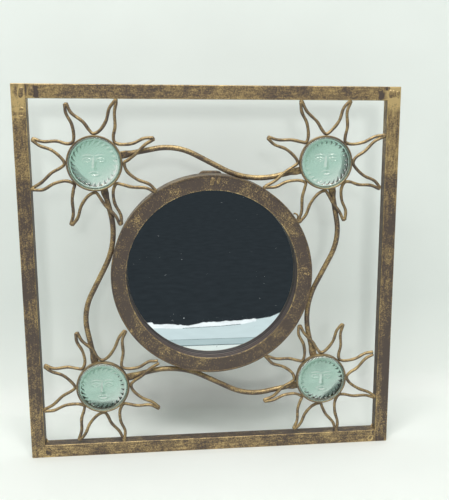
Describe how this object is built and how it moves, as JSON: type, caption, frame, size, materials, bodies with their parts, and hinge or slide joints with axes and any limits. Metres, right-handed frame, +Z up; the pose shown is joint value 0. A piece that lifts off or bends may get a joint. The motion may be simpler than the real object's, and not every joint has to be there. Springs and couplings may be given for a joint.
{
  "type": "welded steel sun wall mirror",
  "caption": "Square openwork wall mirror of welded steel: a round mirror in a deep ring, bent rods, and pressed-glass sun faces with wavy wire flames in the corners.",
  "frame": {"origin": "middle of the underside of the bottom rail, halfway through the tube's depth", "axes": "+X to the right seen from the front, +Y from the front to the back, +Z up"},
  "size_m": [0.356, 0.0366, 0.356],
  "materials": {
    "bronze_paint": "dark brown paint rubbed with antique gold",
    "bare_steel": "dull mill finish",
    "mirror": "silvered behind clear float glass",
    "hardboard": "plain tempered hardboard",
    "aqua_glass": "pressed, fire polished"
  },
  "bodies": {
    "root": {"stile_left": "bronze_paint", "stile_right": "bronze_paint", "rail_top": "bronze_paint", "rail_bottom": "bronze_paint", "end_cap_top_left": "bronze_paint", "end_cap_top_right": "bronze_paint", "end_cap_bottom_right": "bronze_paint", "end_cap_bottom_left": "bronze_paint", "ring_band": "bronze_paint", "ring_face": "bronze_paint", "ring_lip": "bronze_paint", "stem_top": "bronze_paint", "stem_right": "bronze_paint", "stem_bottom": "bronze_paint", "stem_left": "bronze_paint", "ray_top_left_1": "bronze_paint", "ray_top_left_2": "bronze_paint", "ray_top_left_3": "bronze_paint", "ray_top_left_4": "bronze_paint", "ray_top_left_5": "bronze_paint", "ray_top_left_6": "bronze_paint", "ray_top_left_7": "bronze_paint", "ray_top_left_8": "bronze_paint", "ray_top_right_1": "bronze_paint", "ray_top_right_2": "bronze_paint", "ray_top_right_3": "bronze_paint", "ray_top_right_4": "bronze_paint", "ray_top_right_5": "bronze_paint", "ray_top_right_6": "bronze_paint", "ray_top_right_7": "bronze_paint", "ray_top_right_8": "bronze_paint", "ray_bottom_right_1": "bronze_paint", "ray_bottom_right_2": "bronze_paint", "ray_bottom_right_3": "bronze_paint", "ray_bottom_right_4": "bronze_paint", "ray_bottom_right_5": "bronze_paint", "ray_bottom_right_6": "bronze_paint", "ray_bottom_right_7": "bronze_paint", "ray_bottom_right_8": "bronze_paint", "ray_bottom_left_1": "bronze_paint", "ray_bottom_left_2": "bronze_paint", "ray_bottom_left_3": "bronze_paint", "ray_bottom_left_4": "bronze_paint", "ray_bottom_left_5": "bronze_paint", "ray_bottom_left_6": "bronze_paint", "ray_bottom_left_7": "bronze_paint", "ray_bottom_left_8": "bronze_paint", "bezel_top_left": "bronze_paint", "bezel_top_right": "bronze_paint", "bezel_bottom_right": "bronze_paint", "bezel_bottom_left": "bronze_paint", "hanger_loop": "bronze_paint", "backing_clips": "bare_steel", "mirror_glass": "mirror", "backing_board": "hardboard", "glass_face_top_left": "aqua_glass", "glass_face_top_right": "aqua_glass", "glass_face_bottom_right": "aqua_glass", "glass_face_bottom_left": "aqua_glass"}
  },
  "joints": []
}
